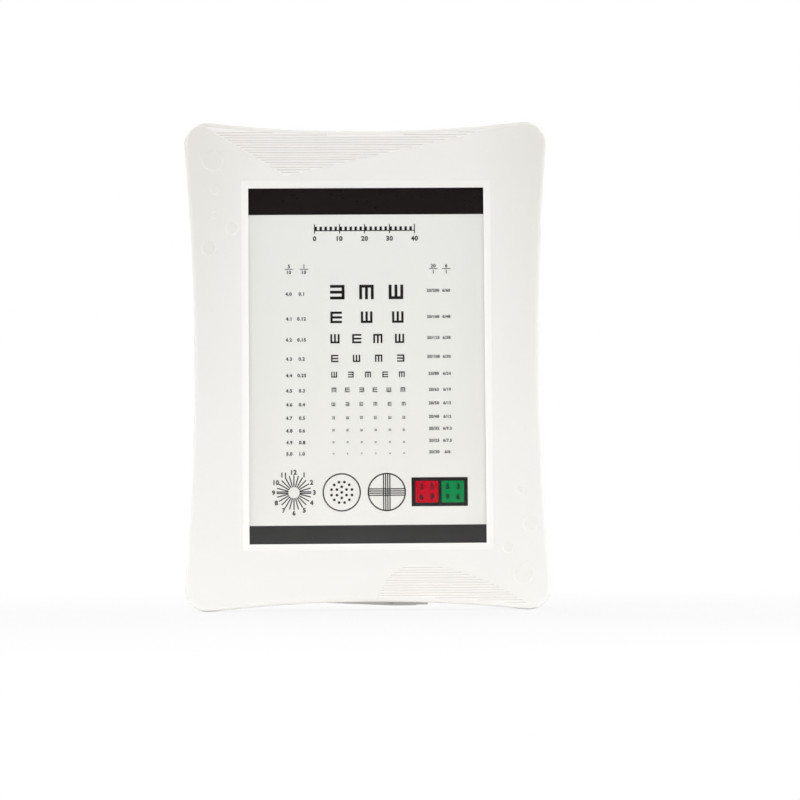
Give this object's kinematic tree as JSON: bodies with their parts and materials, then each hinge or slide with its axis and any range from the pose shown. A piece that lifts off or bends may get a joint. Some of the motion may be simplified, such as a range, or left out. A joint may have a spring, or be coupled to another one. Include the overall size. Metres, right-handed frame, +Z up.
{
  "type": "near vision chart light box",
  "caption": "Backlit near-vision chart box: white frame-shaped case, clear window over a printed chart film, folding stand leg, battery bay.",
  "frame": {"origin": "middle of the standing line under the two bottom lobes, at mid-depth of the case", "axes": "+Z up, -Y out of the face towards the reader, +X to the reader's right"},
  "size_m": [0.145, 0.024, 0.195],
  "materials": {
    "case_white": "smooth moulded white, light gloss",
    "window_clear": "clear acrylic, polished",
    "chart_print": "printed translucent film",
    "diffuser_white": "matt translucent sheet",
    "guide_clear": "clear light guide",
    "reflector_silver": "white reflective sheet",
    "tray_metal": "bright sheet",
    "strip_white": "white solder mask",
    "lamp_yellow": "phosphor under clear resin",
    "screw_steel": "zinc plated",
    "pin_steel": "drawn steel",
    "leg_white": "moulded off-white",
    "pad_rubber": "soft grey rubber",
    "cell_wrap": "plain printed sleeve",
    "contact_nickel": "nickel plated spring steel",
    "board_green": "green solder mask",
    "chip_black": "moulded epoxy",
    "ferrite_grey": "sintered ferrite",
    "capacitor_metal": "drawn can",
    "inlet_black": "moulded black",
    "inlet_brass": "plated brass",
    "switch_black": "moulded black",
    "switch_grey": "moulded grey",
    "lead_black": "soft sheath",
    "lead_blue": "soft sheath",
    "lead_red": "soft sheath",
    "lead_white": "soft sheath"
  },
  "bodies": {
    "case": {"front_bezel": "case_white", "window_pane": "window_clear", "chart_film": "chart_print", "diffuser_sheet": "diffuser_white", "light_guide": "guide_clear", "reflector_sheet": "reflector_silver", "backlight_tray": "tray_metal", "led_strip_left": "strip_white", "led_strip_right": "strip_white", "leds_left": "lamp_yellow", "leds_right": "lamp_yellow", "tray_screws": "screw_steel", "rear_cover": "case_white", "case_screws": "screw_steel", "hinge_pin": "pin_steel", "battery_cells": "cell_wrap", "battery_plates": "contact_nickel", "battery_springs": "contact_nickel", "driver_board": "board_green", "driver_chip": "chip_black", "choke_coil": "ferrite_grey", "smoothing_capacitor": "capacitor_metal", "board_screws": "screw_steel", "dc_inlet": "inlet_black", "dc_inlet_pin": "inlet_brass", "switch_body": "switch_black", "lead_inlet": "lead_black", "lead_switch": "lead_blue", "lead_battery_plus": "lead_red", "lead_battery_minus": "lead_black", "lead_led_left": "lead_white", "lead_led_right": "lead_white"},
    "stand": {"stand_leg": "leg_white", "stand_foot_pad": "pad_rubber"},
    "door": {"battery_door": "case_white"},
    "slider": {"switch_knob": "switch_grey"}
  },
  "joints": [
    {"name": "stand_hinge", "type": "hinge", "parent": "case", "child": "stand", "pos_m": [0, 0.0089, 0.121], "axis": [1, 0, 0], "range_deg": [0, 40]},
    {"name": "door_tilt", "type": "hinge", "parent": "case", "child": "door", "pos_m": [0, 0.012, 0.1377], "axis": [-1, 0, 0], "range_deg": [0, 75]},
    {"name": "switch_slide", "type": "slide", "parent": "case", "child": "slider", "axis": [-1, 0, 0], "range_m": [0, 0.003]}
  ]
}
